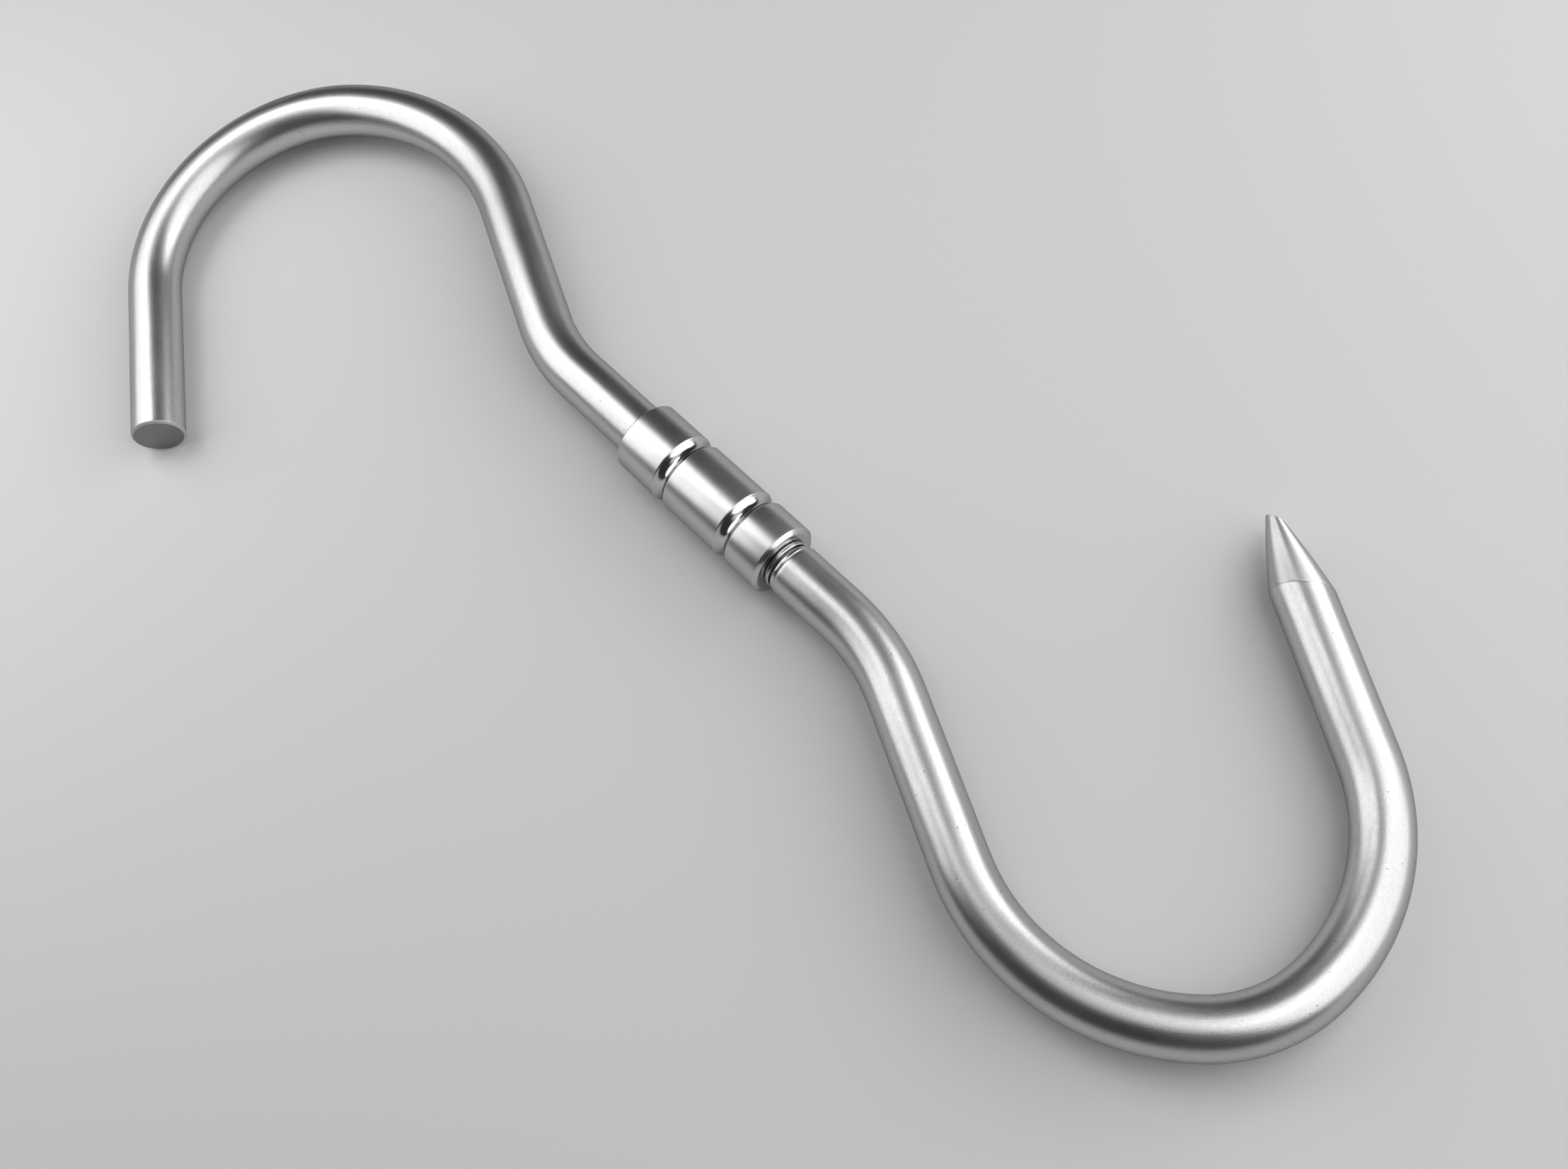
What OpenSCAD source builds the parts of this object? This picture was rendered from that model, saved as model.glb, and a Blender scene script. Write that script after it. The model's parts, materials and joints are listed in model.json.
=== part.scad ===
// Swivel S hook: a blunt rail hook and a pointed hook of round stainless bar,
// joined by a turned sleeve in which the pointed hook spins.
// It lies on its side: +X runs along the swivel from the blunt hook to the
// pointed one, +Z is up, and the origin is under the middle of the whole hook.

/* [Bar] */
// Diameter of the round bar of both hooks
bar_d = 12; // [10:0.5:13]

/* [Blunt upper hook] */
// Straight shank between the sleeve and the first bend
upper_shank = 22.8; // [16:0.1:40]
// Centre-line radius of the offset bend next to the shank
upper_offset_r = 40; // [25:1:60]
// Turn of the offset bend, in degrees
upper_offset_turn = 24; // [15:0.5:32]
// Straight bar between the offset bend and the crown
upper_side = 34.5; // [20:0.5:50]
// Centre-line radius of the first part of the crown
crown_r = 50; // [40:1:60]
// Turn of the first part of the crown, in degrees
crown_turn = 62.5; // [50:0.5:75]
// Centre-line radius of the second, tighter part of the crown
crown_close_r = 40; // [32:1:50]
// Turn of the second part of the crown, in degrees
crown_close_turn = 108; // [90:0.5:115]
// Straight leg from the crown to the cut end
blunt_leg = 39.5; // [20:0.5:60]
// Chamfer round the cut end
blunt_chamfer = 0.5; // [0.2:0.1:1.5]

/* [Pointed lower hook] */
// Straight shank between the neck's shoulder and the first bend
lower_shank = 14.2; // [8:0.1:30]
// Centre-line radius of the offset bend next to the shank
lower_offset_r = 49; // [30:1:65]
// Turn of the offset bend, in degrees
lower_offset_turn = 25; // [15:0.5:32]
// Straight bar between the offset bend and the bowl
lower_side = 36.5; // [20:0.5:50]
// Centre-line radius of the bowl's first part
bowl_r = 46; // [36:1:56]
// Turn of the bowl's first part, in degrees
bowl_turn = 69.5; // [55:0.5:80]
// Centre-line radius of the bowl's tight base
bowl_base_r = 29; // [24:1:40]
// Turn of the bowl's tight base, in degrees
bowl_base_turn = 43; // [30:0.5:55]
// Centre-line radius of the bowl's last part
bowl_rise_r = 43; // [34:1:54]
// Turn of the bowl's last part, in degrees
bowl_rise_turn = 62.5; // [50:0.5:70]
// Straight leg of full bar between the bowl and the point
point_leg = 36.5; // [20:0.5:60]
// Length of the ground point
point_len = 17; // [12:0.5:30]
// Diameter left at the point's tip
tip_d = 2.3; // [1:0.1:4]
// How far the point's side bulges beyond a straight cone
point_bulge = 0.25; // [0.05:0.05:0.6]
// How far back the small flat across the tip runs on the outer side
tip_flat_len = 3.4; // [1:0.1:6]

/* [Swivel sleeve] */
// Outside diameter of the sleeve and of its bush
sleeve_d = 16.4; // [15.6:0.1:20]
// Length of the band between the sleeve's upper face and its first groove
upper_band = 11.5; // [8:0.1:20]
// Length of the band between the two grooves
middle_band = 15.9; // [12:0.1:30]
// Width of each turned groove at the sleeve's surface
groove_w = 3.5; // [2:0.1:4]
// Depth of each turned groove
groove_depth = 1; // [0.5:0.1:1.2]
// Chamfer round the sleeve's upper face
sleeve_chamfer = 0.3; // [0.1:0.1:0.8]
// Depth of the socket that holds the upper shank
socket_depth = 14; // [8:0.5:18]
// Wall between the tapped bore and the bottom of a groove
groove_wall = 1; // [0.8:0.1:1.6]

/* [Bush] */
// Length of the bush's flange, which looks like the sleeve's last band
bush_flange = 9.4; // [6:0.1:16]
// Chamfer round the flange's lower face
bush_chamfer = 0.8; // [0.2:0.1:1.2]
// Length of the bush's threaded spigot, inside the sleeve
bush_spigot = 9; // [6:0.5:12]

/* [Neck and retaining parts] */
// Diameter of the lower hook's neck, which turns in the bush
neck_d = 9; // [8:0.1:10]
// Gap between the bush and the neck's shoulder
neck_gap = 2.8; // [2.5:0.1:4]
// Thickness of each of the two washers in that gap
neck_washer_t = 1.1; // [0.8:0.1:1.2]
// Outside diameter of those washers
neck_washer_d = 11.4; // [10.8:0.1:12]
// Thickness of the bronze thrust washer inside the sleeve
thrust_washer_t = 1.2; // [0.8:0.1:2]
// Diameter of the stud beyond the neck, which carries the retaining collar
stud_d = 8; // [6.5:0.1:8]
// Outside diameter of the retaining collar
collar_d = 11.6; // [10.8:0.1:12]
// Length of the retaining collar
collar_len = 6; // [4:0.5:7]
// Stud left standing beyond the collar
stud_proud = 1; // [0.5:0.5:2]
// Diameter of the pin through the collar and the stud
pin_d = 2.5; // [2:0.1:3]

/* [Clearances] */
// Radial clearance of the neck in the bush
running_clearance = 0.05; // [0.02:0.01:0.1]
// Radial clearance of washers on the neck
washer_clearance = 0.1; // [0.05:0.05:0.3]
// Radial clearance of parts that are fixed together
fixed_clearance = 0.02; // [0.01:0.01:0.05]
// Axial clearance between the parts that turn on each other
end_play = 0.1; // [0.05:0.05:0.3]

/* [Hidden] */
$fn = 96;

bar_r = bar_d / 2;
sleeve_r = sleeve_d / 2;
neck_r = neck_d / 2;
stud_r = stud_d / 2;
// Overlap of a cutting tool past the face that it cuts
past = 1;
// Bends are a hair thicker than straight bar, and straight bar runs this far
// into them, so that the two join as one clean solid
bend_swell = 0.04;
lap = 0.5;
bent_r = bar_r + bend_swell;
// Straight bar between two bends that follow each other
link = 0.1;

// Stations along the swivel axis, from the sleeve's upper face
sleeve_len = upper_band + middle_band + 2 * groove_w;
first_groove = upper_band + groove_w / 2;
second_groove = sleeve_len - groove_w / 2;
bush_end = sleeve_len + bush_flange;
shoulder = bush_end + neck_gap;
bush_start = sleeve_len - bush_spigot;
thrust_start = bush_start - end_play - thrust_washer_t;
neck_start = thrust_start - end_play;
stud_start = neck_start - collar_len - stud_proud;
pin_station = neck_start - collar_len / 2;

// The groove is an arc: its radius follows from its width and depth
groove_r = (pow(groove_w / 2, 2) + pow(groove_depth, 2)) / (2 * groove_depth);
tapped_r = sleeve_r - groove_depth - groove_wall;
blunt_tip_r = bar_r - blunt_chamfer;
tip_r = tip_d / 2;
// Radius of the point at a share of its length
function point_r(share) =
    bar_r + share * (tip_r - bar_r) + 4 * point_bulge * share * (1 - share);
flat_edge_r = point_r(1 - tip_flat_len / point_len);

// A bend list holds [length, 0] for straight bar and [radius, turn] for a
// bend, from the sleeve outwards; a positive turn is to the left.
upper_bends = [
    [upper_shank, 0], [upper_offset_r, -upper_offset_turn], [upper_side, 0],
    [crown_r, crown_turn], [link, 0], [crown_close_r, crown_close_turn],
    [blunt_leg - blunt_chamfer, 0]
];
lower_bends = [
    [lower_shank, 0], [lower_offset_r, -lower_offset_turn], [lower_side, 0],
    [bowl_r, bowl_turn], [link, 0], [bowl_base_r, bowl_base_turn],
    [link, 0], [bowl_rise_r, bowl_rise_turn], [point_leg, 0]
];

// Place and heading [x, y, heading] after a share of one bend-list entry
function walk(from, bend, share) =
    bend[1] == 0
    ? [
        from.x + share * bend[0] * cos(from.z),
        from.y + share * bend[0] * sin(from.z),
        from.z
    ]
    : let (side = sign(bend[1]), to = from.z + share * bend[1])
      [
        from.x + side * bend[0] * (sin(to) - sin(from.z)),
        from.y - side * bend[0] * (cos(to) - cos(from.z)),
        to
    ];

// Places along a whole bend list, one for about each degree of turn
function route(bends, from, i = 0) =
    i == len(bends)
    ? []
    : let (steps = max(1, ceil(abs(bends[i][1]))))
      concat(
        [for (k = [0 : steps]) walk(from, bends[i], k / steps)],
        route(bends, walk(from, bends[i], 1), i + 1)
    );

upper_route = route(upper_bends, [0, 0, 180]);
lower_route = route(lower_bends, [shoulder, 0, 0]);
blunt_end = walk(upper_route[len(upper_route) - 1], [blunt_chamfer, 0], 1);
point_start = lower_route[len(lower_route) - 1];
point_end = walk(point_start, [point_len, 0], 1);
flat_edge = walk(point_start, [point_len - tip_flat_len, 0], 1);

// Each hook leans about the swivel until its far side meets the floor
function sides(places) = [for (p = places) p.y];
function lean(places) =
    let (right = -min(sides(places)), left = max(sides(places)))
    right > left
    ? asin((sleeve_r - bent_r) / right)
    : -asin((sleeve_r - bent_r) / left);
upper_lean = lean(upper_route);
lower_lean = lean(lower_route);

// Reach of the bar's surface along X and along Y, once it leans
function reach_x(places, r, way) =
    [for (p = places) way * p.x + r * abs(sin(p.z))];
function reach_y(places, r, way, angle) =
    [
        for (p = places)
            way * p.y * cos(angle) + r * norm([cos(p.z) * cos(angle), sin(angle)])
    ];
low_x = -max(
    max(reach_x(upper_route, bent_r, -1)),
    max(reach_x([blunt_end], blunt_tip_r, -1))
);
high_x = max(
    max(reach_x(lower_route, bent_r, 1)),
    max(reach_x([point_end], tip_r, 1))
);
low_y = -max(
    max(reach_y(upper_route, bent_r, -1, upper_lean)),
    max(reach_y([blunt_end], blunt_tip_r, -1, upper_lean)),
    max(reach_y(lower_route, bent_r, -1, lower_lean)),
    max(reach_y([point_end], tip_r, -1, lower_lean))
);
high_y = max(
    max(reach_y(upper_route, bent_r, 1, upper_lean)),
    max(reach_y([blunt_end], blunt_tip_r, 1, upper_lean)),
    max(reach_y(lower_route, bent_r, 1, lower_lean)),
    max(reach_y([flat_edge], flat_edge_r, 1, lower_lean))
);

// Puts what is built along the swivel axis over the origin, on the floor
module on_floor(angle = 0) {
    translate([-(low_x + high_x) / 2, -(low_y + high_y) / 2, sleeve_r])
        rotate([angle, 0, 0])
            children();
}

// Turns what is built along Z so that it runs along X from a station
module along(station) {
    translate([station, 0, 0])
        rotate([0, 90, 0])
            children();
}

module rod(station, length, r) {
    along(station)
        rotate([0, 0, -90])
            cylinder(r = r, h = length);
}

module ring(station, length, outer_r, inner_r) {
    difference() {
        rod(station, length, outer_r);
        rod(station - past, length + 2 * past, inner_r);
    }
}

// One bend of round bar from the origin, which first heads along +X
module bend(r, turn) {
    side = sign(turn);
    translate([0, side * r, 0])
        rotate([0, 0, turn > 0 ? -90 : 90 + turn])
            rotate_extrude(angle = abs(turn))
                translate([r, 0])
                    circle(r = bent_r);
}

// Round bar along a bend list from the origin, and its children at the end
module bent_bar(bends, i = 0) {
    if (i == len(bends)) {
        children();
    } else {
        size = bends[i][0];
        turn = bends[i][1];
        before = i == 0 ? 0 : lap;
        after = i == len(bends) - 1 ? 0 : lap;
        if (turn == 0) {
            rod(-before, before + size + after, bar_r);
        } else {
            bend(size, turn);
        }
        to = walk([0, 0, 0], bends[i], 1);
        translate([to.x, to.y, 0])
            rotate([0, 0, turn])
                bent_bar(bends, i + 1)
                    children();
    }
}

// The ground point: a cone with slightly bulging sides, its radius measured
// from the arc through both ends, and a small flat cut across its tip
module ground_point() {
    steps = 12;
    difference() {
        along(0)
            rotate_extrude()
                polygon(concat(
                    [[0, 0]],
                    [for (k = [0 : steps]) [point_r(k / steps), k * point_len / steps]],
                    [[0, point_len]]
                ));
        // The flat starts at the tip's inner edge and faces the outer side
        translate([point_len, tip_r, 0])
            rotate([0, 0, -atan2(tip_flat_len, tip_r + flat_edge_r)])
                translate([0, -bar_d, -bar_d])
                    cube([2 * bar_d, 2 * bar_d, 2 * bar_d]);
    }
}

// Blunt hook for the rail, with its shank pressed into the sleeve
module upper_hook() {
    color("silver")
        on_floor(upper_lean) {
            rod(0, socket_depth, bar_r);
            rotate([0, 0, 180])
                bent_bar(upper_bends)
                    along(0)
                        cylinder(r1 = bar_r, r2 = blunt_tip_r, h = blunt_chamfer);
        }
}

// Turned sleeve: socket at one end, tapped bore at the other, two grooves
module swivel_sleeve() {
    color("gainsboro")
        on_floor()
            difference() {
                union() {
                    along(0)
                        cylinder(
                            r1 = sleeve_r - sleeve_chamfer,
                            r2 = sleeve_r,
                            h = sleeve_chamfer
                        );
                    rod(sleeve_chamfer, sleeve_len - sleeve_chamfer, sleeve_r);
                }
                rod(-past, socket_depth + 2 * past, bar_r + fixed_clearance);
                rod(socket_depth, sleeve_len - socket_depth + past, tapped_r + fixed_clearance);
                for (station = [first_groove, second_groove])
                    along(station)
                        rotate_extrude()
                            translate([sleeve_r - groove_depth + groove_r, 0])
                                circle(r = groove_r);
            }
}

// Bush screwed into the sleeve: the neck turns in it, and its flange shows
module sleeve_bush() {
    color("gainsboro")
        on_floor()
            difference() {
                union() {
                    rod(bush_start, bush_spigot, tapped_r);
                    rod(sleeve_len, bush_flange - bush_chamfer, sleeve_r);
                    along(bush_end - bush_chamfer)
                        cylinder(
                            r1 = sleeve_r,
                            r2 = sleeve_r - bush_chamfer,
                            h = bush_chamfer
                        );
                }
                rod(
                    bush_start - past,
                    bush_end - bush_start + 2 * past,
                    neck_r + running_clearance
                );
            }
}

// Pointed hook, with the neck and the stud turned on its shank
module lower_hook() {
    color("silver")
        on_floor(lower_lean)
            difference() {
                union() {
                    rod(stud_start, neck_start - stud_start, stud_r);
                    rod(neck_start, shoulder - neck_start, neck_r);
                    translate([shoulder, 0, 0])
                        bent_bar(lower_bends)
                            ground_point();
                }
                translate([pin_station, 0, 0])
                    cylinder(
                        r = pin_d / 2 + fixed_clearance,
                        h = collar_d + 2 * past,
                        center = true
                    );
            }
}

// Washer on the neck against the bush
module bush_washer() {
    color("darkgray")
        on_floor()
            ring(
                bush_end + end_play,
                neck_washer_t,
                neck_washer_d / 2,
                neck_r + washer_clearance
            );
}

// Washer on the neck against its shoulder
module shoulder_washer() {
    color("darkgray")
        on_floor()
            ring(
                shoulder - neck_washer_t,
                neck_washer_t,
                neck_washer_d / 2,
                neck_r + washer_clearance
            );
}

// Bronze washer that carries the load from the collar to the bush
module thrust_washer() {
    color("goldenrod")
        on_floor()
            ring(
                thrust_start,
                thrust_washer_t,
                collar_d / 2,
                neck_r + washer_clearance
            );
}

// Collar pinned to the stud, which keeps the pointed hook in the sleeve
module retaining_collar() {
    color("darkgray")
        on_floor(lower_lean)
            difference() {
                ring(
                    neck_start - collar_len,
                    collar_len,
                    collar_d / 2,
                    stud_r + fixed_clearance
                );
                translate([pin_station, 0, 0])
                    cylinder(
                        r = pin_d / 2 + fixed_clearance,
                        h = collar_d + 2 * past,
                        center = true
                    );
            }
}

// Cross pin through the collar and the stud
module lock_pin() {
    color("gray")
        on_floor(lower_lean)
            translate([pin_station, 0, 0])
                cylinder(r = pin_d / 2, h = collar_d, center = true);
}

upper_hook();
swivel_sleeve();
sleeve_bush();
lower_hook();
bush_washer();
shoulder_washer();
thrust_washer();
retaining_collar();
lock_pin();
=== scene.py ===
# %% [markdown]
# # A swivel S hook in drawn stainless bar
# The object is a butcher's swivel hook: a blunt hook for the rail and a pointed hook for the load,
# both bent from round bar, and between them a turned sleeve in which the pointed hook spins. The
# CAD model already says where everything is and how it moves. This lesson gives the same pieces
# the skin of the real ones: rounded edges, a hand-ground point, tool marks, and three finishes of
# stainless steel. First the CAD frame is loaded, and its box is kept before anything is added.

# %% The frame
import json
import math

import bpy
import numpy as np
from mathutils import Matrix, Vector


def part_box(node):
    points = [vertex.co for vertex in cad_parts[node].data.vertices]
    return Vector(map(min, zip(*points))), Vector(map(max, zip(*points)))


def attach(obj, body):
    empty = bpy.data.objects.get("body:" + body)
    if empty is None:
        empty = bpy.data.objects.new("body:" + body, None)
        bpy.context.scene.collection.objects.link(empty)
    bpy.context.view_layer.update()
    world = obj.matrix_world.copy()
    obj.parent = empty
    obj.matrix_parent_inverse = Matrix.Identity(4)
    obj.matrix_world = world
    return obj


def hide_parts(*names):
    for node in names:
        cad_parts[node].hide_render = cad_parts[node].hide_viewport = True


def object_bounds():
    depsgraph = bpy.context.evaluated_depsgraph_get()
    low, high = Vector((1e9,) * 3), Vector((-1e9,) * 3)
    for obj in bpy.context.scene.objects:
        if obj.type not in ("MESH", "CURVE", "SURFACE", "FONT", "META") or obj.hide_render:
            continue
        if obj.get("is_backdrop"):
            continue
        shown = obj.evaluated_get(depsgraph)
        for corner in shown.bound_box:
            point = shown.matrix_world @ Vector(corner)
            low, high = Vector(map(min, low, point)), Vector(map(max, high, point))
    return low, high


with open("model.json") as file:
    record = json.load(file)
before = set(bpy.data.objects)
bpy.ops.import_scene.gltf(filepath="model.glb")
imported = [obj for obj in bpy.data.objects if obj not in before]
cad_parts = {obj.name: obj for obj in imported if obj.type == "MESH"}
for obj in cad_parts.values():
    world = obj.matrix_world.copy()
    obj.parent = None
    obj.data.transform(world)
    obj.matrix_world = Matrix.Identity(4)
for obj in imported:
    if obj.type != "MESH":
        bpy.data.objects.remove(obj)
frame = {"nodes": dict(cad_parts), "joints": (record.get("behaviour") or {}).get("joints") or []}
cad_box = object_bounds()

# %% [markdown]
# Every place is worked out from the frame. The sleeve is the datum: its axis is the swivel axis,
# and its upper face is where the shank of the blunt hook goes in. The joint's own position gives
# the same axis, which is a good check on the reading of the box.

# %% Datum: the swivel axis and the sleeve's upper face
MM = 0.001
sleeve_low, sleeve_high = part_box("swivel_sleeve")
axis_y = (sleeve_low.y + sleeve_high.y) / 2
axis_z = (sleeve_low.z + sleeve_high.z) / 2
sleeve_face = sleeve_low.x
swivel_point = frame["joints"][0]["pos_m"]
print("axis", round(axis_y, 6), round(axis_z, 6), "joint", swivel_point[1:])
print("sleeve's upper face at", round(sleeve_face, 6))

# %% [markdown]
# The sizes below are the ones that the solids were built from, in metres. A bend list describes a
# bent bar the way a bender would: straight lengths as `(length, 0)` and bends as
# `(centre-line radius, turn in degrees)`, where a positive turn is to the left.

# %% Sizes of the bars and their bend lists
bar_r = 6 * MM
sleeve_r = 8.2 * MM
socket_depth = 14 * MM
shoulder = sleeve_face + 46.6 * MM
neck_start = sleeve_face + 25.1 * MM
stud_start = sleeve_face + 18.1 * MM
stud_r, neck_r = 4 * MM, 4.5 * MM
blunt_chamfer = 0.5 * MM
point_len, point_bulge = 17 * MM, 0.25 * MM
tip_r, tip_flat_len = 1.15 * MM, 3.4 * MM

blunt_bends = [
    (socket_depth + 22.8 * MM, 0), (40 * MM, -24), (34.5 * MM, 0),
    (50 * MM, 62.5), (40 * MM, 108), (39.5 * MM, 0),
]
pointed_bends = [
    (shoulder - stud_start + 14.2 * MM, 0), (49 * MM, -25), (36.5 * MM, 0),
    (46 * MM, 69.5), (29 * MM, 43), (43 * MM, 62.5), (36.5 * MM + point_len, 0),
]

# %% [markdown]
# A bend list becomes a curve through one idea: along the bar the heading is a straight-line
# function of the length in every bend and constant in every straight. Interpolating the heading
# over the bar's length, smoothing it a little because a bender never gives a sudden change of
# curvature, and summing cosines and sines gives the whole centre line at once.

# %% The centre line of a bent bar
LINE_STEP = 0.05 * MM
EASE = 7 * MM


def raised_cosine(width, step):
    """Weights of a raised cosine of a given width, sampled at a given step, that add up to one."""
    window = np.hanning(2 * round(width / step / 2) + 3)[1:-1]
    return window / window.sum()


def centre_line(bends, start_x, heading):
    """Centre line of a bent bar as arrays of length, x, y and heading, in the plane of the bends.

    heading(s) interpolates between the ends of the entries and is averaged with a raised cosine
    of width EASE; then x(s) = start + integral of cos(heading) and y(s) = integral of sin.
    """
    size, turn = (np.array(column, float) for column in zip(*bends))
    turn = np.radians(turn)
    lengths = np.where(turn == 0, size, size * np.abs(turn))
    knots = np.concatenate([[0], np.cumsum(lengths)])
    headings = math.radians(heading) + np.concatenate([[0], np.cumsum(turn)])
    s = np.arange(0, knots[-1] + LINE_STEP / 2, LINE_STEP)
    raw = np.interp(s, knots, headings)
    window = raised_cosine(EASE, LINE_STEP)
    smooth = np.convolve(np.pad(raw, len(window) // 2, mode="edge"), window, mode="valid")
    step = np.stack([np.cos(smooth), np.sin(smooth)]) * LINE_STEP
    middle = (step[:, :-1] + step[:, 1:]) / 2
    x, y = np.concatenate([np.zeros((2, 1)), np.cumsum(middle, axis=1)], axis=1)
    return {"s": s, "x": start_x + x, "y": y, "heading": smooth, "length": s[-1]}


blunt_line = centre_line(blunt_bends, sleeve_face + socket_depth, 180)
pointed_line = centre_line(pointed_bends, stud_start, 0)
print("bar lengths in mm", [round(line["length"] / MM, 1) for line in (blunt_line, pointed_line)])

# %% [markdown]
# The sleeve is thicker than the bar, so a hook that lies down leans about the swivel until its far
# side touches the floor as well. The angle follows from the two radii and from how far the hook
# reaches sideways.

# %% The lean of each hook
BEND_SWELL = 0.04 * MM


def lean_of(line, cut_back):
    """Angle about the swivel, asin((sleeve radius - bar radius) / reach), towards the far side.

    The reach is where the bar still has its full thickness, so cut_back of it is left out.
    """
    full = line["y"][line["s"] <= line["length"] - cut_back]
    reach = full[np.argmax(np.abs(full))]
    return -math.asin((sleeve_r - bar_r - BEND_SWELL) / reach)


blunt_lean, pointed_lean = lean_of(blunt_line, blunt_chamfer), lean_of(pointed_line, point_len)
print("lean in degrees", round(math.degrees(blunt_lean), 2), round(math.degrees(pointed_lean), 2))

# %% [markdown]
# All new skins are grids: one parameter runs along the bar, the other around it. `bent` takes
# points of the straight bar and gives their places in the finished bend, and `sweep` does so for a
# circle of changing radius. The straight places are kept too: they become an attribute, and the
# steel's grain will follow it round the bends without a seam.

# %% Carrying a section along a bar
AROUND = 96
angles = np.linspace(0, 2 * np.pi, AROUND, endpoint=False)


def bent(line, s, side, up, lean):
    """The grid of points centre(s) + side * left(s) + up * z, and the straight grid (s, side, up).

    left is the centre line's left normal in the plane of the bends, and z is square to that plane.
    The first grid is then turned about the swivel axis by the lean.
    """
    x, y, heading = (np.interp(s, line["s"], line[key]) for key in ("x", "y", "heading"))
    flat_x, flat_y = x - side * np.sin(heading), y + side * np.cos(heading)
    turned_y = flat_y * math.cos(lean) - up * math.sin(lean)
    turned_z = flat_y * math.sin(lean) + up * math.cos(lean)
    grid = np.stack([flat_x, turned_y + axis_y, turned_z + axis_z], axis=-1)
    return grid, np.stack([s, side, up], axis=-1)


def sweep(line, stations, radius, lean):
    """Both grids for a circle of radius r(s, a) at length s: side = r cos a and up = r sin a.

    stations may have one value for each row, or one for each point of the grid.
    """
    s = stations if np.ndim(stations) == 2 else np.broadcast_to(stations[:, None], radius.shape)
    return bent(line, s, radius * np.cos(angles), radius * np.sin(angles), lean)


# %% [markdown]
# A grid becomes a mesh in one call. Around the bar the last column joins the first. Along it there
# are two cases: a bar is closed by a pole at each end, and a turned ring closes on itself like a
# torus. The order of the corners makes every face look outwards. The signed volume that each
# piece's cell prints is positive when that is so.

# %% From a grid to a closed skin
SHARP = math.radians(32)


def tile(rows, columns, ring):
    """Quads between neighbouring rows and columns; columns wrap round, and rows do in a ring."""
    i = np.arange(rows if ring else rows - 1)[:, None]
    j = np.arange(columns)[None, :]
    below, above = i * columns, (i + 1) % rows * columns
    after = (j + 1) % columns
    return np.stack([below + j, below + after, above + after, above + j], axis=-1).reshape(-1, 4)


def with_poles(grid, ring):
    """All the grid's points or values in one list, then the means of its first and last rows."""
    flat = grid.reshape(-1, *grid.shape[2:])
    return flat if ring else np.concatenate([flat, grid[:1].mean(axis=1), grid[-1:].mean(axis=1)])


def skin(name, grid, straight, ring=False, **masks):
    """Closed mesh from a grid of points, with the straight-bar places and masks as attributes."""
    rows, columns = grid.shape[:2]
    points, faces = with_poles(grid, ring), tile(rows, columns, ring).tolist()
    if not ring:
        first, last = rows * columns, rows * columns + 1
        j, after = np.arange(columns), (np.arange(columns) + 1) % columns
        end = (rows - 1) * columns
        faces += np.stack([np.full(columns, first), after, j], axis=-1).tolist()
        faces += np.stack([np.full(columns, last), end + j, end + after], axis=-1).tolist()
    mesh = bpy.data.meshes.new(name)
    mesh.from_pydata(points.tolist(), [], faces)
    places = mesh.attributes.new("straight", "FLOAT_VECTOR", "POINT")
    places.data.foreach_set("vector", with_poles(straight, ring).ravel())
    for mask, values in masks.items():
        held = mesh.attributes.new(mask, "FLOAT", "POINT")
        held.data.foreach_set("value", with_poles(values, ring))
    mesh.shade_smooth()
    mesh.set_sharp_from_angle(angle=SHARP)
    piece = bpy.data.objects.new(name, mesh)
    bpy.context.scene.collection.objects.link(piece)
    return piece


def volume_of(piece):
    """Signed volume in cubic millimetres: a sixth of the sum of a . (b x c) over the triangles."""
    mesh = piece.data
    mesh.calc_loop_triangles()
    corner = np.empty(len(mesh.loop_triangles) * 3, np.int32)
    mesh.loop_triangles.foreach_get("vertices", corner)
    place = np.empty(len(mesh.vertices) * 3)
    mesh.vertices.foreach_get("co", place)
    a, b, c = (place.reshape(-1, 3)[corner.reshape(-1, 3)[:, k]] for k in range(3))
    return float(np.einsum("ij,ij->i", a, np.cross(b, c)).sum() / 6 / MM**3)


# %% [markdown]
# A bar that has been bent, sawn and hung on rails for years isn't a perfect tube. Three kinds of
# unevenness are worked into the radius itself, so that reflections bend over them: a faint wave
# along the whole bar, small presses where the bending tool bit, and one little flat. Each is a
# function of the length and the angle.

# %% Unevenness of a bent bar
SWELL = 0.012 * MM


def wave(s, a, seed):
    """Faint swell of the surface: sines of the length and of one, two and three times the angle."""
    lobes = np.arange(1, 4)[:, None, None]
    pitch = np.array([31, 19, 12])[:, None, None] * MM
    phase = seed + lobes * 1.7
    swell = np.sin(2 * np.pi * s[None, :, None] / pitch + phase) * np.cos(lobes * a + phase * 2)
    return SWELL * (swell * np.array([1, 0.7, 0.4])[:, None, None]).sum(axis=0)


def angle_from(a, degrees):
    """Angle between a and a direction given in degrees, from minus pi to pi."""
    return (a - math.radians(degrees) + np.pi) % (2 * np.pi) - np.pi


def press(s, a, at, angle, length, width, depth):
    """Shallow dent: depth * exp(-(ds / length)^2 - (da * bar_r / width)^2), angle in degrees."""
    along, across = (s - at) / length, angle_from(a, angle) * bar_r / width
    return depth * np.exp(-along[:, None] ** 2 - across[None, :] ** 2)


def filed_flat(s, a, at, angle, length, depth):
    """Flat cut into the bar: the radius stops at (bar_r - depth) / cos(da), and fades out along.

    The cosine is held at a half or more, so only the side that faces the file is cut.
    """
    plane = (bar_r - depth) / np.maximum(np.cos(angle_from(a, angle)), 0.5)
    cut = np.maximum(bar_r - plane, 0)[None, :]
    fade = np.clip(1 - ((s - at) / length) ** 2, 0, 1)[:, None]
    return np.maximum(cut - depth * (1 - fade), 0)


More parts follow.
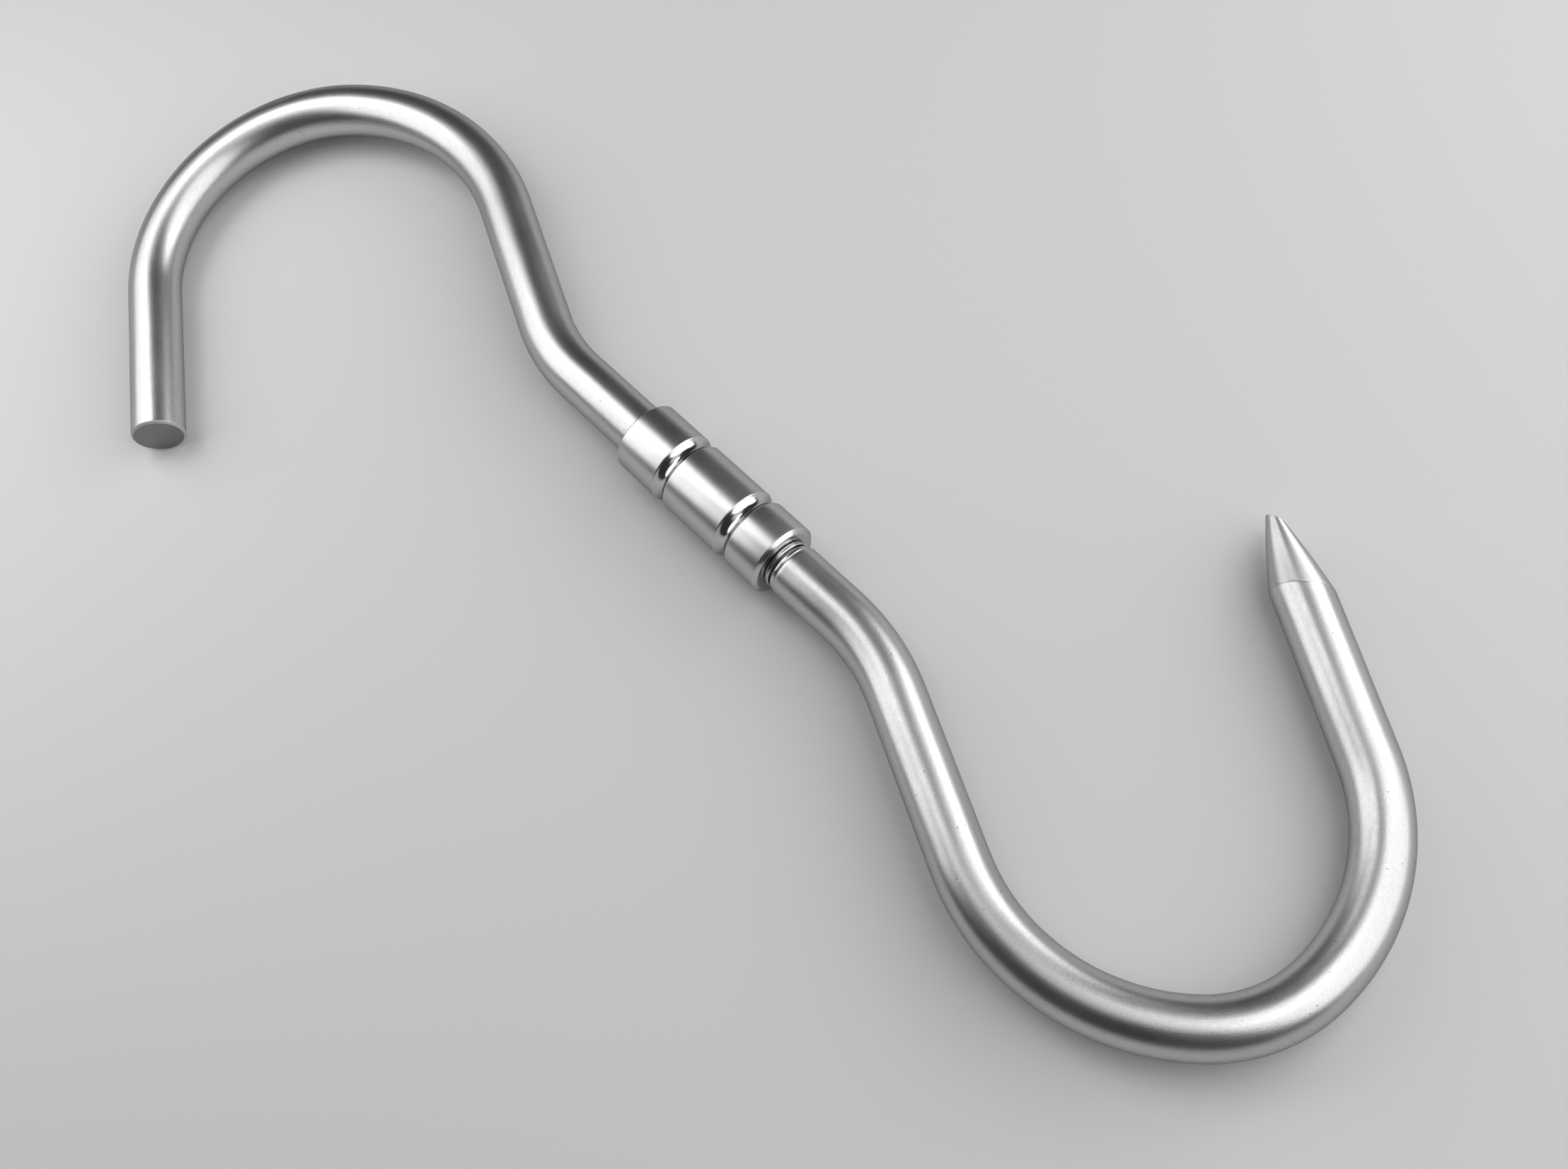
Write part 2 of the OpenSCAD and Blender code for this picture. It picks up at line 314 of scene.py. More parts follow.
# %% [markdown]
# ## The blunt hook
# One bar, pressed into the sleeve at one end and sawn square at the other. The sawn end has a dark
# face, very slightly dished, and its edge was broken with a coarse file, so it catches light from
# all round. The radius along the bar is a short list of stations, dense only where it changes, and
# two masks say which rows are the filed edge and which are the sawn face.

# %% Rows of the blunt hook
ROW = 0.9 * MM


def rounded_end(end, reach):
    """Stations and radii over a broken edge: wall, chamfer and face, with small rounds between."""
    back = np.array([2.2, 1.4, 1.12, 1.03, 0.96, 0.5, 0.04, 0.0, 0.0, -0.03, 0.02, 0.06]) * reach
    inset = np.array([0, 0, 0.0, 0.02, 0.07, 0.5, 0.93, 1.06, 1.3, 2.0, 6.0, 10.0]) * reach
    return end - back, bar_r - inset


tail_s, tail_r = rounded_end(blunt_line["length"], blunt_chamfer)
body_s = np.linspace(0, tail_s[0], round(tail_s[0] / ROW), endpoint=False)
blunt_s = np.concatenate([body_s, tail_s])
blunt_r = np.concatenate([np.full(len(body_s), bar_r), tail_r])
print("rows", len(blunt_s), "of which the end has", len(tail_s))

# %% The blunt hook's skin
EDGE_ROWS, FACE_ROWS = 9, 5
WALL_ROWS = 2
knee_crease, crown_flat = socket_depth + 37 * MM, socket_depth + 145.5 * MM
first_bite, second_bite = socket_depth + 170.7 * MM, socket_depth + 175.7 * MM
uneven = wave(blunt_s, angles, 0.4)
uneven -= press(blunt_s, angles, first_bite, -3, 2.2 * MM, 1.6 * MM, 0.1 * MM)
uneven -= press(blunt_s, angles, second_bite, 8, 1.5 * MM, 1.2 * MM, 0.05 * MM)
uneven -= press(blunt_s, angles, knee_crease, 172, 1.3 * MM, 3.4 * MM, 0.07 * MM)
uneven -= filed_flat(blunt_s, angles, crown_flat, 112, 4.2 * MM, 0.12 * MM)
on_wall = (blunt_s < tail_s[WALL_ROWS])[:, None]
blunt_radius = blunt_r[:, None] + np.where(on_wall, uneven, 0)
grid, straight = sweep(blunt_line, blunt_s, blunt_radius, blunt_lean)
filed, sawn = np.zeros(blunt_radius.shape), np.zeros(blunt_radius.shape)
filed[-EDGE_ROWS:-FACE_ROWS], sawn[-FACE_ROWS:] = 1, 1
blunt_bar = skin("blunt_hook_bar", grid, straight, cut=sawn, filed=filed)
print("blunt hook", len(blunt_bar.data.polygons), "faces", round(volume_of(blunt_bar)), "mm3")

# %% [markdown]
# ## The pointed hook
# The same bar with a turned neck at one end and a ground point at the other. Neck, shoulder and
# stud are steps in the radius. The point was ground by hand: its cone starts a little later on the
# inner side of the hook, its sides bulge slightly, and a last touch of the wheel has left a small
# oblique flat across the tip. Each line of the cone ends where it meets that flat, so the stations
# differ from angle to angle. The place where it meets has no short formula, so it is found by going
# half of the remaining way again and again. The rows that follow close the flat towards its middle.

# %% The pointed hook's radius along neck, bar and point
NECK_EDGE = 0.2 * MM
pointed_end = pointed_line["length"]
point_start = pointed_end - point_len
GRIND_SKEW = 2.1 * MM
GRIND_EARLY = 1.4 * MM
neck_at, shoulder_at = neck_start - stud_start, shoulder - stud_start
neck_rows = np.array([
    (0, stud_r - NECK_EDGE), (NECK_EDGE, stud_r), (neck_at / 2, stud_r), (neck_at, stud_r),
    (neck_at, neck_r - NECK_EDGE), (neck_at + NECK_EDGE, neck_r),
    ((neck_at + shoulder_at) / 2, neck_r), (shoulder_at, neck_r),
    (shoulder_at, bar_r - 2 * NECK_EDGE), (shoulder_at + 0.06 * MM, bar_r - 1.2 * NECK_EDGE),
    (shoulder_at + 0.2 * MM, bar_r - 0.35 * NECK_EDGE), (shoulder_at + 0.45 * MM, bar_r),
])
cone_start = point_start - GRIND_EARLY + GRIND_SKEW * np.cos(angles)
POINT_SLOPE = (bar_r - tip_r) / point_len


def cone_radius(share):
    """Radius of the point at a share of its length: straight cone plus 4 * bulge * t * (1 - t)."""
    return bar_r + share * (tip_r - bar_r) + 4 * point_bulge * share * (1 - share)


# %% The line where each side of the cone meets the tip's flat
HALVINGS = 40
flat_edge_r = cone_radius(1 - tip_flat_len / point_len)
flat_slope = tip_flat_len / (tip_r + flat_edge_r)
cone_len = pointed_end - cone_start
meet = np.ones(AROUND)
for _ in range(HALVINGS):
    side = cone_radius(meet) * np.cos(angles)
    on_flat = pointed_end - (tip_r - side) * flat_slope
    meet = meet + 0.5 * (np.minimum(on_flat, pointed_end) - cone_start - meet * cone_len) / cone_len
print("flat meets the cone from", round(meet.min(), 3), "to", round(meet.max(), 3), "of its length")

# %% Rows of the bar, the cone and the tip's flat
CONE_ROWS, FLAT_ROWS = 44, 6
AFTER_SHOULDER, BEFORE_CONE = 0.9 * MM, 0.35 * MM
FLAT_CLOSED = 0.9
run_s = np.linspace(0, 1, round((point_start - shoulder_at) / ROW))[:, None]
run_start, run_end = shoulder_at + AFTER_SHOULDER, cone_start - BEFORE_CONE
bar_s = run_start + (run_end - run_start) * run_s
share = np.linspace(0, 1, CONE_ROWS)[:, None] * meet
cone_s = cone_start + share * cone_len
edge_s, edge_r = cone_s[-1], cone_radius(meet)
edge_side, edge_up = edge_r * np.cos(angles), edge_r * np.sin(angles)
close = np.linspace(0, 1, FLAT_ROWS + 1)[1:, None] * FLAT_CLOSED
flat_s = edge_s + (edge_s.mean() - edge_s) * close
flat_side = edge_side + (edge_side.mean() - edge_side) * close
flat_up = edge_up * (1 - close)
print("rows", len(neck_rows), len(bar_s), len(cone_s), len(flat_s))

# %% The pointed hook's skin
FADE = 4 * MM
GROUND = 0.2
neck_s, neck_radius = (np.repeat(neck_rows[:, k:k + 1], AROUND, axis=1) for k in (0, 1))
pointed_s = np.vstack([neck_s, bar_s, cone_s])
pointed_r = np.vstack([neck_radius, np.full(bar_s.shape, bar_r), cone_radius(share)])
bar_rows = slice(len(neck_rows), len(neck_rows) + len(bar_s))
row_s = pointed_s[bar_rows].mean(axis=1)
knee_pit, bowl_mark = shoulder_at + 35.8 * MM, shoulder_at + 150 * MM
uneven = wave(row_s, angles, 2.1)
uneven -= press(row_s, angles, knee_pit, 92, 0.7 * MM, 0.6 * MM, 0.05 * MM)
uneven -= press(row_s, angles, bowl_mark, 4, 2.5 * MM, 1.8 * MM, 0.07 * MM)
fade = np.clip((row_s[-1] - row_s) / FADE, 0, 1) * np.clip((row_s - row_s[0]) / FADE, 0, 1)
pointed_r[bar_rows] += uneven * fade[:, None]
grid, straight = sweep(pointed_line, pointed_s, pointed_r, pointed_lean)
flat, flat_straight = bent(pointed_line, flat_s, flat_side, flat_up, pointed_lean)
grid, straight = np.concatenate([grid, flat]), np.concatenate([straight, flat_straight])
on_cone = slice(len(neck_rows) + len(bar_s), None)
ground, tread = np.zeros(grid.shape[:2]), np.zeros(grid.shape[:2])
ground[on_cone], ground[-FLAT_ROWS:] = GROUND, 1
tread[on_cone] = POINT_SLOPE * (straight[on_cone, :, 0] - cone_start)
pointed_bar = skin("pointed_hook_bar", grid, straight, cut=ground, tread=tread)
print("pointed hook", len(pointed_bar.data.polygons), "faces", round(volume_of(pointed_bar)), "mm3")

# %% [markdown]
# ## Sleeve, bush and washers
# Turned parts are profiles spun about the swivel axis. A lathe leaves no true sharp corner, so
# every corner of a profile is replaced by a small curve. The sleeve's two grooves are arcs in the
# profile, with their edges polished round: light runs along those shoulders as thin lines.

# %% Profiles for the lathe
STRAIGHT_ON = math.radians(20)
CORNER_REACH = 0.45
CORNER_STEPS = 5
LIP = 0.25 * MM


def round_corners(profile, size):
    """Closed profile with each sharp corner replaced by a quadratic curve that starts size away.

    With corner c and the points p and q at that distance on both sides, the curve is
    (1 - t)^2 p + 2 t (1 - t) c + t^2 q. It starts nearer where a side of the profile is too short.
    Where the profile turns by less than STRAIGHT_ON, the corner's own point is kept.
    """
    before, after = np.roll(profile, 1, axis=0) - profile, np.roll(profile, -1, axis=0) - profile
    gap_before = np.linalg.norm(before, axis=1)[:, None]
    gap_after = np.linalg.norm(after, axis=1)[:, None]
    before, after = before / gap_before, after / gap_after
    straight_on = -(before * after).sum(axis=1) > math.cos(STRAIGHT_ON)
    longest = CORNER_REACH * np.minimum(gap_before, gap_after)
    reach = np.where(straight_on[:, None], 0, np.minimum(size, longest))
    p, q = profile + before * reach, profile + after * reach
    t = np.linspace(0, 1, CORNER_STEPS)[None, :, None]
    curve = (1 - t) ** 2 * p[:, None] + 2 * t * (1 - t) * profile[:, None] + t**2 * q[:, None]
    kept = ~straight_on[:, None] | (np.arange(CORNER_STEPS) == CORNER_STEPS // 2)
    return curve[kept]


def lathe(name, profile):
    """Spins a closed profile of (station, radius) about the swivel axis into a ring-shaped skin.

    Its mask of cut metal is 0 on the outer bands and 1 from LIP below them.
    """
    station, radius = profile[:, :1], np.broadcast_to(profile[:, 1:], (len(profile), AROUND))
    side, up = radius * np.cos(angles), radius * np.sin(angles)
    x = np.broadcast_to(sleeve_face + station, radius.shape)
    grid = np.stack([x, axis_y + side, axis_z + up], axis=-1)
    straight = np.stack([np.broadcast_to(station, radius.shape), side, up], axis=-1)
    below = np.clip((profile[:, 1].max() - profile[:, 1]) / LIP, 0, 1)
    return skin(name, grid, straight, ring=True, cut=np.repeat(below[:, None], AROUND, axis=1))


# %% The sleeve with its two grooves
upper_band, middle_band, groove_w, groove_depth = 11.5 * MM, 15.9 * MM, 3.5 * MM, 1 * MM
sleeve_len = upper_band + middle_band + 2 * groove_w
tapped_r, socket_r = 6.22 * MM, 6.02 * MM
groove_r = ((groove_w / 2) ** 2 + groove_depth**2) / (2 * groove_depth)
SHOULDER = 0.4 * MM
FINE_ROWS, GROOVE_ROWS = 281, 49


def groove(middle):
    """A turned groove as stations and radii: a circular arc whose two edges are polished round.

    The depth is max(0, sqrt(R^2 - x^2) - R + depth), averaged with a raised cosine as wide as
    SHOULDER, so the edges turn into small shoulders and the bottom keeps its arc.
    """
    fine = np.linspace(-groove_w, groove_w, FINE_ROWS)
    arc = np.sqrt(np.maximum(groove_r**2 - fine**2, 0)) - groove_r + groove_depth
    window = raised_cosine(SHOULDER, fine[1] - fine[0])
    soft = np.convolve(np.maximum(arc, 0), window, mode="same")
    station = np.linspace(-1, 1, GROOVE_ROWS) * (groove_w + SHOULDER) / 2
    return np.stack([middle + station, sleeve_r - np.interp(station, fine, soft)], axis=-1)


first_groove, second_groove = upper_band + groove_w / 2, sleeve_len - groove_w / 2
face_chamfer, sleeve_round = 0.3 * MM, 0.12 * MM
seam_gap, seam_reach, seam_lip = 0.02 * MM, 0.08 * MM, 0.03 * MM
seam_groove = groove(second_groove)
seam_groove = seam_groove[seam_groove[:, 0] < sleeve_len - seam_reach]
lower_end = sleeve_len - seam_gap
outer = np.vstack([
    [(0, socket_r), (0, sleeve_r - face_chamfer), (face_chamfer, sleeve_r)],
    groove(first_groove), seam_groove, [(lower_end, seam_groove[-1, 1] + seam_lip)],
])
inner = np.array([(lower_end, tapped_r), (socket_depth, tapped_r), (socket_depth, socket_r)])
sleeve = lathe("turned_sleeve", round_corners(np.vstack([outer, inner]), sleeve_round))
print("sleeve", len(sleeve.data.polygons), "faces", round(volume_of(sleeve)), "mm3")

# %% [markdown]
# The bush is screwed in against the sleeve's second groove, and the joint shows only as a hairline
# there. Its lower face has a wide bright chamfer. Past it, in the gap to the pointed hook's
# shoulder, two thin washers ride on the neck, one with each side of the swivel.

# %% The bush
bush_end, bush_start, bush_r = sleeve_len + 9.4 * MM, sleeve_len - 9 * MM, 6.2 * MM
bore_r = neck_r + 0.05 * MM
flange_start, flange_full = sleeve_len + 0.03 * MM, sleeve_len + 0.25 * MM
flange_edge, flange_chamfer, bush_round = 0.14 * MM, 0.8 * MM, 0.14 * MM
mouth_r, mouth_len = bore_r + 0.5 * MM, 0.4 * MM
bush_profile = np.array([
    (bush_start, bore_r), (bush_start, bush_r), (flange_start, bush_r),
    (flange_start, sleeve_r - flange_edge), (flange_full, sleeve_r),
    (bush_end - flange_chamfer, sleeve_r), (bush_end, sleeve_r - flange_chamfer),
    (bush_end, mouth_r), (bush_end - mouth_len, bore_r),
])
bush = lathe("turned_bush", round_corners(bush_profile, bush_round))
print("bush", len(bush.data.polygons), "faces", round(volume_of(bush)), "mm3")

# %% The two washers in the gap
washer_t, washer_r, washer_bore = 1.1 * MM, 5.7 * MM, neck_r + 0.1 * MM
washer_gap, rim_round = 0.1 * MM, 0.33 * MM


def washer(name, start):
    """A washer with rounded rims, spun from its rectangular section."""
    end = start + washer_t
    section = [(start, washer_bore), (start, washer_r), (end, washer_r), (end, washer_bore)]
    return lathe(name, round_corners(np.array(section), rim_round))


bush_washer = washer("bush_washer_rim", bush_end + washer_gap)
shoulder_washer = washer("shoulder_washer_rim", shoulder - sleeve_face - washer_t)
print("washers", round(volume_of(bush_washer)), round(volume_of(shoulder_washer)), "mm3")

# %% [markdown]
# ## Shader maths
# A finish reads best as a formula. `Wire` wraps one output socket and gives it Python's operators,
# each of which adds a Math node, also with the number on the left. `Recipe.node` adds any other
# node: it takes the node's type, then its settings, then what goes into its sockets.

# %% A socket with operators
class Wire:
    """One output socket in a recipe; +, - and * with numbers or wires add Math nodes."""

    def __init__(self, recipe, socket):
        self.recipe = recipe
        self.socket = socket

    def maths(self, operation, first, second):
        return self.recipe.node("Math", {"operation": operation}, {0: first, 1: second})

    def beside(self, output):
        """Another output of the same node."""
        return Wire(self.recipe, self.socket.node.outputs[output])

    def __add__(self, other):
        return self.maths("ADD", self, other)

    def __sub__(self, other):
        return self.maths("SUBTRACT", self, other)

    def __rsub__(self, other):
        return self.maths("SUBTRACT", other, self)

    def __mul__(self, other):
        return self.maths("MULTIPLY", self, other)

    __radd__ = __add__
    __rmul__ = __mul__


# %% A recipe with one method for every other node
GLANCING_TINT = (0.5, 0.5, 0.49, 1)


class Recipe:
    """The nodes of one material or world, with the method that adds them."""

    def __init__(self, owner):
        self.owner = owner
        owner.use_nodes = True
        self.tree = owner.node_tree
        self.tree.nodes.clear()

    def node(self, kind, settings=None, inputs=None, output=0):
        """Adds a node, changes its settings, then fills its sockets with values or wires."""
        node = self.tree.nodes.new("ShaderNode" + kind)
        for key, value in (settings or {}).items():
            setattr(node, key, value)
        for key, value in (inputs or {}).items():
            if isinstance(value, Wire):
                self.tree.links.new(value.socket, node.inputs[key])
            else:
                node.inputs[key].default_value = value
        return None if output is None else Wire(self, node.outputs[output])

    def metal(self, base_color, roughness, height):
        """Ends the recipe: a metal, darker at a glancing angle, of varying colour and height."""
        normal = self.node("Bump", None, {"Strength": 1.0, "Distance": 1.0, "Height": height})
        shader = self.node("BsdfPrincipled", None, {
            "Metallic": 1.0, "Specular Tint": GLANCING_TINT,
            "Base Color": base_color, "Roughness": roughness, "Normal": normal,
        })
        self.node("OutputMaterial", None, {"Surface": shader}, output=None)
        return self.owner


def new_finish(name):
    """An empty recipe for a new material."""
    return Recipe(bpy.data.materials.new(name))


# %% [markdown]
# Two small patterns make up all of the steel. `stretched` is noise whose cells are longer one
# way than the others, which gives the drawn grain, the lathe's rings and the wheel's marks.
# `cells` puts a small mark in some of the cells of a random pattern: round ones are pits and
# specks, and stretched ones are fine scratches.

# %% What a finish reads from its piece
def unbent(recipe):
    """Place on the straight bar or on the lathe: length, side and height in metres."""
    return recipe.node("Attribute", {"attribute_name": "straight"}, output="Vector")


def mask(recipe, name):
    """A mask that the piece's skin was given, from 0 to 1."""
    return recipe.node("Attribute", {"attribute_name": name}, output="Fac")


def cut_mask(recipe):
    """One where the wheel, the saw or the tool went last, and zero on the drawn or worn skin."""
    return mask(recipe, "cut")


# %% Patterns that the steel finishes share
FLOOR_OF_MARK = 0.35


def turned_by(recipe, place, x, y, z):
    """The place turned about the three axes in turn, in degrees."""
    turn = tuple(math.radians(angle) for angle in (x, y, z))
    return recipe.node("Mapping", {"vector_type": "POINT"}, {"Vector": place, "Rotation": turn})


def in_cells(recipe, place, cell):
    """The place measured in cells of the given length, side and height."""
    scale = tuple(1 / size for size in cell)
    return recipe.node("VectorMath", {"operation": "MULTIPLY"}, {0: place, 1: scale})


def ranged(recipe, value, low, high, start=0.0, end=1.0):
    """The value carried from low..high to start..end and held within them."""
    return recipe.node("MapRange", None, {0: value, 1: low, 2: high, 3: start, 4: end})


def stretched(recipe, place, cell, detail=2.0):
    """Noise from 0 to 1 with cells of the given length, side and height."""
    place = in_cells(recipe, place, cell)
    return recipe.node("TexNoise", None, {"Vector": place, "Scale": 1.0, "Detail": detail})


def cells(recipe, place, cell, radius, share):
    """Marks in a share of the cells: 1 near a cell's point, falling to 0 at radius of a cell."""
    place = in_cells(recipe, place, cell)
    distance = recipe.node("TexVoronoi", None, {"Vector": place, "Scale": 1.0}, output="Distance")
    chance = recipe.node("SeparateColor", None, {0: distance.beside("Color")})
    chosen = recipe.node("Math", {"operation": "LESS_THAN"}, {0: chance, 1: share})
    return ranged(recipe, distance, FLOOR_OF_MARK * radius, radius, 1.0, 0.0) * chosen


def blend(recipe, factor, first, second):
    """Colour between first and second by a factor."""
    return recipe.node("Mix", {"data_type": "RGBA"}, {0: factor, 6: first, 7: second}, output=2)


# %% [markdown]
# ## Drawn and ground stainless
# The bars are drawn stainless that was tumbled after bending: bright, but not a mirror. Its
# highlights are soft and look finely frosted at their edges. The formula has one part for each
# cause: drawn lines along the bar, a haze of short streaks that scatters the light a little more,
# tumbling marks as fine speckle, smudges in the roughness, sparse needles for scratches, and a few
# pits. The roughness stays above 0.27 all over: below that a renderer's noise filter takes a metal
# for a mirror, and a finish that crosses the line from spot to spot comes out in blotches.
#
# The point was ground in rings, each a tiny tread that lies along the bar, with a short riser after
# it. The rings are too fine to see, but they decide where the light goes: its stripes on the bar
# run on along the point, although the point tapers. So the height simply grows along the point as
# fast as its radius falls, and the shading follows the treads.

# %% Drawn bar, with the ground and sawn places under the mask
MICRON = 1e-6
bright = (0.6, 0.6, 0.595, 1)
dull = (0.47, 0.47, 0.47, 1)
sawn_grey = (0.17, 0.17, 0.165, 1)
dirt = (0.14, 0.13, 0.12, 1)


def drawn_bar(name, seed):
    """Bright drawn bar: soft highlights, lengthwise grain, tumbling speckle, needles and pits."""
    recipe = new_finish(name)
    place = recipe.node(
        "VectorMath", {"operation": "ADD"}, {0: unbent(recipe), 1: (seed, seed, seed)}
    )
    cut = cut_mask(recipe)
    grain = stretched(recipe, place, (9 * MM, 0.22 * MM, 0.22 * MM), 1.0)
    streaks = stretched(recipe, place, (1.6 * MM, 0.4 * MM, 0.4 * MM), 2.0)
    haze = ranged(recipe, streaks, 0.38, 0.64)
    speckle = stretched(recipe, place, (0.35 * MM,) * 3, 2.0)
    smudge = stretched(recipe, place, (11 * MM, 5 * MM, 5 * MM), 2.0)
    cloud = stretched(recipe, place, (34 * MM, 16 * MM, 16 * MM), 1.0)
    pits = cells(recipe, place, (1.8 * MM,) * 3, 0.13, 0.18)
    slant = turned_by(recipe, place, 20, 35, 62)
    needles = cells(recipe, slant, (4 * MM, 0.5 * MM, 0.5 * MM), 0.16, 0.10)
    cross = turned_by(recipe, place, -40, 10, -28)
    needles = needles + cells(recipe, cross, (3 * MM, 0.4 * MM, 0.4 * MM), 0.16, 0.08)
    file_marks = stretched(recipe, place, (3 * MM, 0.2 * MM, 5 * MM), 0.0)

    rough = 0.285 + 0.025 * haze + 0.03 * ranged(recipe, smudge, 0.35, 0.65)
    rough = rough + 0.02 * ranged(recipe, cloud, 0.3, 0.7)
    rough = rough + 0.03 * (speckle - 0.5) + 0.08 * needles
    rough = rough + 0.08 * cut + 0.36 * mask(recipe, "filed")
    height = MICRON * (6.0 * grain + 12.0 * speckle - 8.0 * needles - 14.0 * pits)
    height = height + cut * (MICRON * 3.0 * file_marks) + mask(recipe, "tread")
    level = 0.15 * ranged(recipe, cloud, 0.3, 0.7) + 0.14 * haze
    level = level + 0.4 * ranged(recipe, speckle, 0.35, 0.65)
    color = blend(recipe, level, bright, dull)
    color = blend(recipe, 0.8 * cut, color, sawn_grey)
    color = blend(recipe, 0.7 * pits, color, dirt)
    return recipe.metal(color, rough, height)


# %% [markdown]
# ## Turned stainless
# The sleeve and the bush were turned and then lightly polished, and their bands have worn to a
# satin. The grooves and chamfers lie below the wear and still shine, so there the mask halves the
# roughness. The lathe leaves rings, so the grain is very short along the axis and long around it:
# noise cells that are 0.13 mm long and many millimetres wide give rings, shorter ones a haze of
# polishing streaks, and flat ones with a mark in a few of them the scratches that run round the
# bands.

# %% Turned and polished steel
POLISHED = 0.5


def turned_finish(name, ring_height, roughness, place_of=unbent, bare=cut_mask):
    """Turned steel: fine rings about the axis, short scratches round it, smudges and specks."""
    recipe = new_finish(name)
    place = place_of(recipe)
    band = 1 - bare(recipe)
    rings = stretched(recipe, place, (0.13 * MM, 40 * MM, 40 * MM), 3.0)
    swell = stretched(recipe, place, (1.6 * MM, 60 * MM, 60 * MM), 1.0)
    speckle = stretched(recipe, place, (0.45 * MM,) * 3, 3.0)
    smudge = stretched(recipe, place, (6 * MM,) * 3, 3.0)
    streaks = stretched(recipe, place, (0.2 * MM, 3 * MM, 3 * MM), 4.0)
    haze = ranged(recipe, streaks, 0.38, 0.64)
    scratches = cells(recipe, place, (0.7 * MM, 6 * MM, 6 * MM), 0.15, 0.2)
    specks = cells(recipe, place, (1.7 * MM,) * 3, 0.1, 0.14)
    rough = 0.03 * ranged(recipe, smudge, 0.35, 0.65) + 0.04 * (rings - 0.5)
    rough = rough + 0.03 * (speckle - 0.5) + 0.12 * scratches + 0.015 * haze
    rough = POLISHED * roughness + band * ((1 - POLISHED) * roughness + rough)
    height = MICRON * ring_height * (rings + 2.0 * swell) + band * (MICRON * 8.0 * speckle)
    height = height - band * (MICRON * (8.0 * scratches + 12.0 * specks))
    color = blend(recipe, 0.2 * ranged(recipe, smudge, 0.3, 0.7) + 0.1 * haze, bright, dull)
    color = blend(recipe, 0.7 * specks, color, dirt)
    return recipe.metal(color, rough, height)


# %% [markdown]
# The three inner pieces, which hold the swivel together, are hidden at rest and keep their CAD
# meshes. They have no attribute of their own, so their finish reads Object coordinates, moved by
# a Mapping node so that the pattern is centred on the swivel axis.

# %% Finishes for the inner pieces
bronze_clean = (0.64, 0.41, 0.19, 1)
bronze_stained = (0.38, 0.22, 0.1, 1)


def on_axis(recipe):
    """Object coordinates measured from the sleeve's upper face on the swivel axis."""
    place = recipe.node("TexCoord", output="Object")
    back = (-sleeve_face, -axis_y, -axis_z)
    return recipe.node("Mapping", None, {"Vector": place, "Location": back})


def bearing_bronze(name):
    """Bronze washer: brown-gold metal, turned rings, and darker patches where grease has sat."""
    recipe = new_finish(name)
    place = on_axis(recipe)
    rings = stretched(recipe, place, (0.2 * MM, 30 * MM, 30 * MM))
    patch = stretched(recipe, place, (3 * MM,) * 3, 3.0)
    stain = ranged(recipe, patch, 0.4, 0.65)
    color = blend(recipe, stain, bronze_clean, bronze_stained)
    rough = 0.28 + 0.14 * stain + 0.05 * rings
    return recipe.metal(color, rough, MICRON * (4.0 * rings + 3.0 * patch))


# %% Finishes onto the pieces
finishes = {
    "blunt_hook_bar": drawn_bar("drawn_stainless_blunt", 0.013),
    "pointed_hook_bar": drawn_bar("drawn_stainless_pointed", 0.171),
    "turned_sleeve": turned_finish("turned_stainless_sleeve", 2.0, 0.29),
    "turned_bush": turned_finish("turned_stainless_bush", 2.4, 0.29),
    "bush_washer_rim": turned_finish("stamped_stainless_washer", 1.0, 0.24),
}
finishes["shoulder_washer_rim"] = finishes["bush_washer_rim"]
for piece in (blunt_bar, pointed_bar, sleeve, bush, bush_washer, shoulder_washer):
    piece.data.materials.append(finishes[piece.name])

inner_steel = turned_finish("turned_steel_inside", 3.0, 0.26, on_axis, lambda recipe: 0.0)
bronze = bearing_bronze("bearing_bronze")
inner = {"thrust_washer": bronze, "retaining_collar": inner_steel, "lock_pin": inner_steel}
for node, finish in inner.items():
    for held in frame["nodes"][node].material_slots:
        held.material = finish
print("finishes", [finish.name for finish in finishes.values()], bronze.name, inner_steel.name)

# %% [markdown]
# ## What moves with what
# Each new piece rides on a body of the model and stands for the solid that it dresses. The neck
# and stud are part of the pointed hook here as they are in the solids, so the whole lower half
# turns as one when the swivel turns.

# %% Pieces onto their bodies
for piece, body, node, slot in (
    (blunt_bar, "upper", "upper_hook", "upper_hook"),
    (sleeve, "upper", "swivel_sleeve", "sleeve"),
    (bush, "upper", "sleeve_bush", "bush"),
    (bush_washer, "upper", "bush_washer", "neck_washer"),
    (pointed_bar, "lower", "lower_hook", "lower_hook"),
    (shoulder_washer, "lower", "shoulder_washer", "neck_washer"),
):
    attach(piece, body)
    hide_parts(node)
    print(piece.name, "rides on", body, "and stands for", node)

# %% [markdown]
# ## Floor
# The hook lies on a plain pale sheet with a soft matt paint, just under its lowest point. The lamps
# light only the middle of it, so further out it thins away by its Alpha and the room's own pale
# colour, which is the same, takes over without an edge, as on a studio's curved paper backdrop.

